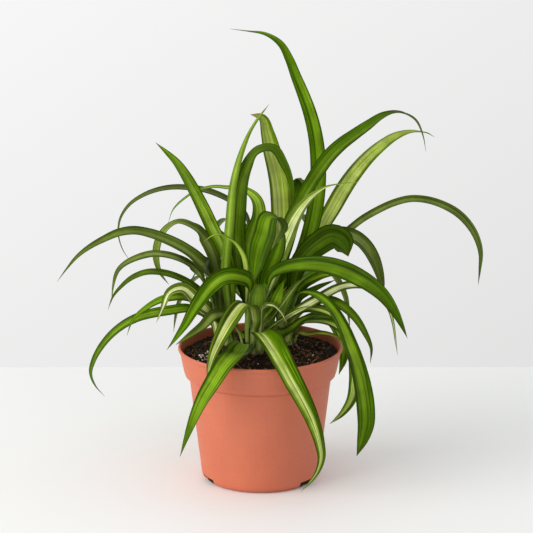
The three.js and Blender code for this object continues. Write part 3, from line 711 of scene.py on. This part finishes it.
# a bit's length, width and height, as shares of its size
BIT_LENGTH, BIT_WIDTH, BIT_HEIGHT = (0.7, 1.5), (0.7, 1.1), (0.5, 0.9)
# how uneven a bit is, the cells of that noise, how far bits lie apart in it, and how high a bit stands
UNEVENNESS = 0.45
UNEVEN_CELLS = 1.7
UNEVEN_SPREAD = 50
BIT_RISE = 0.25
FIBRE_SIDES = 6
# a fibre's girth at its ends, and what its middle has more, as shares of its thickness
FIBRE_END, FIBRE_MIDDLE = 0.35, 0.65
FIBRE_PICK = 0.5
# a strewn fibre starts and stops this far inside the edge, and wanders from point to point
FIBRE_MARGIN = 6 * MM
FIBRE_STOP = 2 * MM
FIBRE_POINTS = 9
FEWEST_FIBRE_POINTS = 4
FIBRE_PACE = 0.9 * MM
FIBRE_BEND = 0.5
FIBRE_RISE = 0.35 * MM
# white and pale bits lie thickest at the front left: the middle and the spread of their heap in x and y
LEFT_HEAP = ((-38 * MM, 9 * MM), (-18 * MM, 12 * MM))
# the thin root that lies on the mix at the right, in mm
ROOT = ((22, 47), (24.5, 33), (29, 11), (34, 3), (44, -5))
ROOT_THICKNESS = 0.55 * MM
ROOT_RISE = 0.6 * MM
ROOT_STEPS = 6
# the root's wiggles across its bends, in mm, and how fast they follow each other
ROOT_WIGGLE_X, ROOT_WIGGLE_Y = 0.5, 0.4
ROOT_PACE_X, ROOT_PACE_Y = 400, 500


def ball(subdivisions):
    """The corners and faces of a ball of radius 1."""
    shape = bmesh.new()
    bmesh.ops.create_icosphere(shape, subdivisions=subdivisions, radius=1)
    shape.verts.ensure_lookup_table()
    corners = [v.co.copy() for v in shape.verts]
    faces = [tuple(v.index for v in f.verts) for f in shape.faces]
    shape.free()
    return corners, faces


def root_way():
    """The places that the thin root goes through, with small wiggles."""
    bends = [Vector((x, y, 0)) * MM for x, y in ROOT]
    way = []
    for a, b in zip(bends, bends[1:]):
        for i in range(ROOT_STEPS):
            p = a.lerp(b, i / ROOT_STEPS)
            p += Vector((ROOT_WIGGLE_X * math.sin(p.y * ROOT_PACE_X),
                         ROOT_WIGGLE_Y * math.cos(p.x * ROOT_PACE_Y), 0)) * MM
            way.append(Vector((p.x, p.y, ground(p.x, p.y) + ROOT_RISE)))
    return way


class Mix:
    """The potting mix as one mesh: corners with a pick for their colour, and faces with their kind."""

    def __init__(self):
        self.points, self.picks = [], []
        self.faces, self.kinds = [], []
        self.rng = random.Random(MIX_SEED)

    def add(self, points, faces, kind, pick):
        """Adds a bit whose faces count its own corners."""
        start = len(self.points)
        self.points += points
        self.picks += [pick] * len(points)
        self.faces += [tuple(start + i for i in face) for face in faces]
        self.kinds += [kind] * len(faces)

    def bit(self, x, y, size, form, kind, flat):
        """One uneven bit that lies on the mix."""
        corners, faces = form
        draw = self.rng.uniform
        stretch = Vector((size * draw(*BIT_LENGTH), size * draw(*BIT_WIDTH), size * draw(*BIT_HEIGHT) * flat))
        spin = Euler((draw(0, ANY_TURN), draw(0, ANY_TURN), draw(0, ANY_TURN))).to_matrix()
        pick = self.rng.random()
        apart = Vector((draw(0, UNEVEN_SPREAD), draw(0, UNEVEN_SPREAD), draw(0, UNEVEN_SPREAD)))
        centre = Vector((x, y, ground(x, y) + size * BIT_RISE))
        points = []
        for p in corners:
            q = p * (1 + UNEVENNESS * noise.noise(p * UNEVEN_CELLS + apart))
            points.append(tuple(centre + spin @ (q * stretch)))
        self.add(points, faces, kind, pick)

    def scatter(self, count, small, large, kind, form, flat=1.0, heap=None):
        """Bits strewn over the bed, or in a heap, with radii from small to large."""
        rng = self.rng
        for _ in range(count):
            reach, turn = (BED_EDGE - BIT_MARGIN) * math.sqrt(rng.random()), rng.uniform(0, FULL_TURN)
            x, y = reach * math.cos(turn), reach * math.sin(turn)
            if heap:
                x, y = (place + spread * rng.gauss(0, 1) for place, spread in heap)
                if math.hypot(x, y) > BED_EDGE - HEAP_MARGIN:
                    continue
            size = small + (large - small) * rng.random() ** SMALLNESS
            self.bit(x, y, size, form, kind, flat)

    def fibre(self, way, thick):
        """A fibre along its way, thinner towards its ends."""
        points, faces = [], []
        for i, p in enumerate(way):
            ahead = (way[min(i + 1, len(way) - 1)] - way[max(i - 1, 0)]).normalized()
            right = ahead.cross(Vector((0, 0, 1))).normalized()
            over = right.cross(ahead)
            swell = math.sin(math.pi * (i + 0.6) / (len(way) + 0.2))
            girth = thick * (FIBRE_END + FIBRE_MIDDLE * swell)
            for k in range(FIBRE_SIDES):
                turn = FULL_TURN * k / FIBRE_SIDES
                points.append(tuple(p + (right * math.cos(turn) + over * math.sin(turn)) * girth))
        end = (len(way) - 1) * FIBRE_SIDES
        for a in range(0, end, FIBRE_SIDES):
            b = a + FIBRE_SIDES
            for k in range(FIBRE_SIDES):
                m = (k + 1) % FIBRE_SIDES
                faces.append((a + k, a + m, b + m, b + k))
        faces.append(tuple(range(FIBRE_SIDES))[::-1])
        faces.append(tuple(range(end, end + FIBRE_SIDES)))
        self.add(points, faces, FIBRE, FIBRE_PICK)

    def strew_fibres(self, count, thin, thick):
        rng = self.rng
        for _ in range(count):
            reach = (BED_EDGE - FIBRE_MARGIN) * math.sqrt(rng.random())
            turn, heading = rng.uniform(0, ANY_TURN), rng.uniform(0, ANY_TURN)
            x, y = reach * math.cos(turn), reach * math.sin(turn)
            way = []
            while len(way) < FIBRE_POINTS and math.hypot(x, y) <= BED_EDGE - FIBRE_STOP:
                way.append(Vector((x, y, ground(x, y) + FIBRE_RISE)))
                heading += rng.uniform(-FIBRE_BEND, FIBRE_BEND)
                x += FIBRE_PACE * math.cos(heading)
                y += FIBRE_PACE * math.sin(heading)
            if len(way) >= FEWEST_FIBRE_POINTS:
                self.fibre(way, rng.uniform(thin, thick))


# ------------------------------------------------------------------ soil

# cells in a metre
SOIL_CLOUDS = 260.0
SOIL_CELLS = 700.0
GRIT_CLOUDS, GRIT_GRAIN = 600.0, 1500.0
FIBRE_CLOUDS = 300.0
SOIL_COLOURS = linear(17, 9, 4), linear(54, 33, 17)
BARK, PALE_BARK = linear(92, 56, 28), linear(160, 118, 74)
GRIT_COLOURS = linear(214, 200, 176), linear(250, 244, 228)
FIBRE_COLOURS = linear(84, 50, 24), linear(190, 142, 92)
# changes, written as for the leaves
SOIL_MOTTLE = (0.35, 0.65)
BARK_PICKS = (0.5, 0.9, 0.0, 0.7)
PALE_BARK_PICKS = (0.90, 0.95, 0.0, 0.9)
SOIL_ROUGHNESS = (0.3, 0.7, 0.5, 0.95)


def soil_material():
    """Reads "grain": its third value is a number of the bit's own, which picks its colour."""
    s = Shader("soil_mix")
    place = s.place()
    _, _, pick = s.values("grain")
    cloud = s.noise(place, SOIL_CLOUDS, detail=5.0, rough=0.65)
    colour = s.mix(s.step(cloud, *SOIL_MOTTLE), *SOIL_COLOURS)
    colour = s.mix(s.step(pick, *BARK_PICKS), colour, BARK)
    colour = s.mix(s.step(pick, *PALE_BARK_PICKS), colour, PALE_BARK)
    s.set(Base_Color=colour, Specular_IOR_Level=0.2, Roughness=s.step(cloud, *SOIL_ROUGHNESS))
    s.bump(s.math("ADD", cloud, s.cells(place, SOIL_CELLS)), strength=0.6, distance=0.6 * MM)
    return s.material


def grit_material():
    s = Shader("soil_grit")
    place = s.place()
    cloud = s.noise(place, GRIT_CLOUDS, detail=3.0)
    s.set(Base_Color=s.mix(cloud, *GRIT_COLOURS), Roughness=0.8)
    s.bump(s.noise(place, GRIT_GRAIN), strength=0.5, distance=0.3 * MM)
    return s.material


def fibre_material():
    s = Shader("soil_fibre")
    cloud = s.noise(s.place(), FIBRE_CLOUDS, detail=3.0)
    s.set(Base_Color=s.mix(cloud, *FIBRE_COLOURS), Roughness=0.75)
    s.bump(cloud, strength=0.5, distance=0.3 * MM)
    return s.material


def fine_soil(materials):
    crumb, lump = ball(1), ball(2)
    mix = Mix()
    mix.add(bed_top() + bed_side(), bed_faces(), MIX, 0.0)
    mix.scatter(3000, small=0.35 * MM, large=1.15 * MM, kind=MIX, form=crumb, flat=0.6)
    mix.scatter(170, small=0.9 * MM, large=2.0 * MM, kind=MIX, form=lump, flat=0.5)
    mix.scatter(34, small=0.3 * MM, large=0.8 * MM, kind=GRIT, form=lump)
    mix.scatter(110, small=0.35 * MM, large=1.25 * MM, kind=GRIT, form=lump, heap=LEFT_HEAP)
    mix.strew_fibres(130, thin=0.12 * MM, thick=0.32 * MM)
    mix.fibre(root_way(), ROOT_THICKNESS)
    piece = add_piece("fine_soil", mix.points, mix.faces, materials)
    piece.data.polygons.foreach_set("material_index", mix.kinds)
    piece.data.polygons.foreach_set("use_smooth", [kind != MIX for kind in mix.kinds])
    piece.data.update()
    add_values(piece, "grain", [(0.0, 0.0, pick) for pick in mix.picks])
    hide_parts("soil")
    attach(piece, "root")


fine_soil([soil_material(), grit_material(), fibre_material()])


# ------------------------------------------------------------------ crowns

CROWN_TURNS = 128
CROWN_RINGS = 30
# the fine crown starts this far under its top, and the part above the soil, which narrows, is this tall
CROWN_LENGTH = 30 * MM
CROWN_NECK = 22 * MM
NARROWING, NARROWING_CURVE = 0.62, 1.15
CLOSING = 0.5
SHEATHS = 8
# how wide a sheath is in steps between two, how deep the grooves are, and how rough the skin is
SHEATH_WIDTH = 1.25
GROOVE = 0.3
SKIN = 0.15 * MM
# what differs from sheath to sheath: its place in steps, its fullness and its lean
PLACE_SPREAD, FULLNESS, LEAN = (-0.2, 0.2), (0.85, 1.0), (-0.3, 0.3)
FIRST_CROWN_SEED = 40
CROWN_LOW = linear(186, 190, 126), linear(124, 144, 50)
CROWN_HIGH = linear(112, 140, 40), linear(70, 98, 14)
# the middle colour on the next line is painted shade for the grooves between the sheaths
CROWN_LINE, CROWN_GROOVE_SHADE, CROWN_SOILED = linear(72, 88, 20), linear(40, 42, 12), linear(70, 48, 28)
# cells of the skin's noise in a radian round the crown and in a metre of its height
SKIN_CELLS = (3, 300)
# cells of the colours' noises in a radian and in the height of the neck
SHEATH_LINE_CELLS = (30.0, 1.5)
SHEATH_STRIPE_CELLS = 5.0
# changes, written as for the leaves
STRIPES = (0.4, 0.6)
GREENING = (0.1, 0.6)
SHEATH_LINES = (0.5, 0.7, 0.0, 0.5)
PAINTED_GROOVE_SHADE = (0.75, 0.2, 0.0, 0.9)
SOILED = (0.36, 0.16, 0.0, 0.85)
SOILED_UNEVENNESS = 0.2
SHEATH_ROUGHNESS = (0.3, 0.7, 0.45, 0.65)


def crown_material():
    """Reads "sheath": the direction, the height as a share of the neck, and 1 on a ridge to 0 in a groove."""
    s = Shader("crown_sheath")
    turn, height, ridge = s.values("sheath")
    round_cells, up_cells = SHEATH_LINE_CELLS
    lines = s.noise(s.join(s.math("MULTIPLY", turn, round_cells), s.math("MULTIPLY", height, up_cells), 0.0),
                    detail=3.0)
    stripe = s.noise(s.join(s.math("MULTIPLY", turn, SHEATH_STRIPE_CELLS), height, 4.0))
    striped = s.step(stripe, *STRIPES)
    colour = s.mix(s.step(height, *GREENING), s.mix(striped, *CROWN_LOW), s.mix(striped, *CROWN_HIGH))
    colour = s.mix(s.step(lines, *SHEATH_LINES), colour, CROWN_LINE)
    # painted shade: the grooves between the sheaths are darkened
    colour = s.mix(s.step(ridge, *PAINTED_GROOVE_SHADE), colour, CROWN_GROOVE_SHADE)
    uneven_height = s.math("ADD", height, s.math("MULTIPLY", stripe, SOILED_UNEVENNESS))
    colour = s.mix(s.step(uneven_height, *SOILED), colour, CROWN_SOILED)
    s.set(Base_Color=colour, Roughness=s.step(lines, *SHEATH_ROUGHNESS), Specular_IOR_Level=0.2)
    s.bump(lines, strength=0.4, distance=0.4 * MM)
    return s.material


def crown_faces():
    faces = []
    for k in range(CROWN_RINGS):
        a, b = k * CROWN_TURNS, (k + 1) * CROWN_TURNS
        for i in range(CROWN_TURNS):
            j = (i + 1) % CROWN_TURNS
            faces.append((a + i, a + j, b + j, b + i))
    top = CROWN_RINGS * CROWN_TURNS
    faces.append(tuple(range(CROWN_TURNS))[::-1])
    faces.append(tuple(range(top, top + CROWN_TURNS)))
    return faces


def ridge_at(turn, above, sheaths):
    """How far the skin stands out of the grooves here, from 0 to 1."""
    ridge = 0.0
    for place, full, lean in sheaths:
        off = turn - place - lean * above
        off = math.atan2(math.sin(off), math.cos(off)) / (math.pi / SHEATHS * SHEATH_WIDTH)
        ridge = max(ridge, full * math.sqrt(max(0.0, 1 - off * off)))
    return ridge


def fine_crown(name, seed, material):
    low, high = (Vector(corner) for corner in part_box(name))
    centre = (low + high) / 2
    radius = (high.x - low.x) / 2
    draw = random.Random(seed).uniform
    sheaths = [(FULL_TURN * (i + draw(*PLACE_SPREAD)) / SHEATHS, draw(*FULLNESS), draw(*LEAN))
               for i in range(SHEATHS)]
    points, rows = [], []
    bottom = max(low.z, high.z - CROWN_LENGTH)
    for k in range(CROWN_RINGS + 1):
        z = bottom + (high.z - bottom) * (k / CROWN_RINGS)
        above = max(0.0, (z - (high.z - CROWN_NECK)) / CROWN_NECK)
        reach = radius * (1 - NARROWING * above ** NARROWING_CURVE)
        if k == CROWN_RINGS:
            reach *= CLOSING
        for i in range(CROWN_TURNS):
            turn = FULL_TURN * i / CROWN_TURNS
            ridge = ridge_at(turn, above, sheaths)
            r = reach * (1 - GROOVE + GROOVE * ridge)
            r += SKIN * noise.noise(Vector((turn * SKIN_CELLS[0], z * SKIN_CELLS[1], seed)))
            points.append((centre.x + r * math.cos(turn), centre.y + r * math.sin(turn), z))
            rows.append((turn + seed, above, ridge))
    piece = add_piece("fine_" + name, points, crown_faces(), [material])
    add_values(piece, "sheath", rows)
    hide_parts(name)
    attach(piece, "root")


sheath_material = crown_material()
for number, crown_name in enumerate(CROWN_NODES):
    fine_crown(crown_name, FIRST_CROWN_SEED + number, sheath_material)


# ------------------------------------------------------------------ pot

POT_COLOURS = linear(198, 96, 54), linear(191, 89, 49)
POT_SPECKS = linear(226, 150, 122)
# cells in a metre: broad clouds, fine grain, and marks drawn out round the wall
POT_CLOUDS = 22.0
POT_GRAIN = 900.0
POT_BRUSH = (60.0, 60.0, 900.0)
# changes, written as for the leaves
POT_MOTTLE = (0.3, 0.7)
POT_SPECKLING = (0.55, 0.75, 0.0, 0.12)
POT_ROUGHNESS = (0.2, 0.8, 0.48, 0.6)
GRAIN_RELIEF, BRUSH_RELIEF = 0.6, 0.3


def pot_material():
    s = Shader("pot_plastic")
    place = s.place()
    cloud = s.noise(place, POT_CLOUDS, detail=4.0)
    grain = s.noise(place, POT_GRAIN, detail=3.0)
    brushed = s.noise(s.stretched(*s.split(place), POT_BRUSH))
    colour = s.mix(s.step(cloud, *POT_MOTTLE), *POT_COLOURS)
    colour = s.mix(s.step(grain, *POT_SPECKLING), colour, POT_SPECKS)
    s.set(Base_Color=colour, Specular_IOR_Level=1.0, Roughness=s.step(brushed, *POT_ROUGHNESS))
    relief = s.math("ADD", s.math("MULTIPLY", grain, GRAIN_RELIEF), s.math("MULTIPLY", brushed, BRUSH_RELIEF))
    s.bump(relief, strength=0.12, distance=0.2 * MM)
    return s.material


pot = NODES["pot"]
pot.data.materials.clear()
pot.data.materials.append(pot_material())
for polygon in pot.data.polygons:
    polygon.use_smooth = True
    polygon.material_index = 0


# ------------------------------------------------------------------ floor, light and camera

FLOOR_BACK = 288 * MM
FLOOR_REACH = 3500 * MM
FLOOR_COLOURS = linear(245, 245, 242), linear(248, 248, 246)
WORLD_LIGHT = linear(246, 248, 250)
WORLD_STRENGTH = 0.82
WALL_LIT_AND_SHADED = linear(247, 247, 247), linear(227, 226, 226)
# Painted shade on the wall: it darkens to the right and towards the floor, away from the key light at the
# left. Direction where that starts, where it ends, share before and after it.
WALL_SHADE_TO_RIGHT = (-0.085, 0.085, 0.0, 0.5)
WALL_SHADE_TO_FLOOR = (-0.19, -0.30, 0.0, 0.5)
LIGHT_AIM = (0, 0, 150 * MM)
CAMERA_PLACE = (4.9 * MM, -2400 * MM, 842 * MM)
# how far the camera looks down, in degrees, and its lens and sensor, in mm
CAMERA_DOWN = 15.58
CAMERA_LENS = 214.6
CAMERA_SENSOR = 36
CAMERA_CLIP = (50 * MM, 50000 * MM)


def make_floor():
    half = FLOOR_REACH
    points = [(-half, -half, 0), (half, -half, 0), (half, FLOOR_BACK, 0), (-half, FLOOR_BACK, 0)]
    s = Shader("floor")
    cloud = s.noise(s.place(), 3.0)
    s.set(Base_Color=s.mix(cloud, *FLOOR_COLOURS), Roughness=0.6, Specular_IOR_Level=0.25)
    floor = add_piece("floor", points, [(0, 1, 2, 3)], [s.material], smooth=False)


def make_world():
    """Even light from all round. The camera sees a pale wall in its place, with painted shade that darkens it
    to the right and towards the floor.
    """
    world = bpy.data.worlds.new("studio")
    bpy.context.scene.world = world
    world.use_nodes = True
    tree = world.node_tree
    tree.nodes.clear()
    out = tree.nodes.new("ShaderNodeOutputWorld")
    pick = tree.nodes.new("ShaderNodeMixShader")
    light = tree.nodes.new("ShaderNodeBackground")
    wall = tree.nodes.new("ShaderNodeBackground")
    path = tree.nodes.new("ShaderNodeLightPath")
    place = tree.nodes.new("ShaderNodeTexCoord")
    parts = tree.nodes.new("ShaderNodeSeparateXYZ")
    right = tree.nodes.new("ShaderNodeMapRange")
    down = tree.nodes.new("ShaderNodeMapRange")
    total = tree.nodes.new("ShaderNodeMath")
    shade = tree.nodes.new("ShaderNodeMix")
    shade.data_type = "RGBA"
    light.inputs["Color"].default_value = WORLD_LIGHT
    light.inputs["Strength"].default_value = WORLD_STRENGTH
    # the wall's lit colour and its painted shade
    shade.inputs[MIX_A].default_value, shade.inputs[MIX_B].default_value = WALL_LIT_AND_SHADED
    for node, values in ((right, WALL_SHADE_TO_RIGHT), (down, WALL_SHADE_TO_FLOOR)):
        for socket, value in zip(node.inputs[1:], values):
            socket.default_value = value
    for source, target in (
        (place.outputs["Generated"], parts.inputs[0]),
        (parts.outputs[0], right.inputs[0]), (parts.outputs[2], down.inputs[0]),
        (right.outputs[0], total.inputs[0]), (down.outputs[0], total.inputs[1]),
        (total.outputs[0], shade.inputs["Factor"]), (shade.outputs[MIX_RESULT], wall.inputs["Color"]),
        (path.outputs["Is Camera Ray"], pick.inputs[0]),
        (light.outputs[0], pick.inputs[1]), (wall.outputs[0], pick.inputs[2]),
        (pick.outputs[0], out.inputs[0]),
    ):
        tree.links.new(source, target)


def area_light(name, place, size, power, colour):
    """A square light that shines at the plant, with its place and size in metres and its power in watts."""
    data = bpy.data.lights.new(name, "AREA")
    data.shape, data.size, data.energy = "SQUARE", size, power
    data.color = linear(*colour)[:3]
    light = bpy.data.objects.new(name, data)
    light.location = place
    light.rotation_euler = (Vector(LIGHT_AIM) - Vector(place)).to_track_quat("-Z", "Y").to_euler()
    bpy.context.scene.collection.objects.link(light)


def make_camera():
    data = bpy.data.cameras.new("camera")
    data.sensor_width, data.lens = CAMERA_SENSOR, CAMERA_LENS
    data.clip_start, data.clip_end = CAMERA_CLIP
    camera = bpy.data.objects.new("camera", data)
    camera.location = CAMERA_PLACE
    camera.rotation_euler = (math.radians(90 - CAMERA_DOWN), 0, 0)
    bpy.context.scene.collection.objects.link(camera)
    bpy.context.scene.camera = camera


make_floor()
make_world()
area_light("key", place=(-2.3, -1.1, 1.05), size=2.3, power=57, colour=(255, 252, 248))
area_light("fill", place=(1.2, -2.2, 1.4), size=1.6, power=3, colour=(255, 255, 255))
make_camera()
bpy.context.scene.view_settings.view_transform = "Standard"
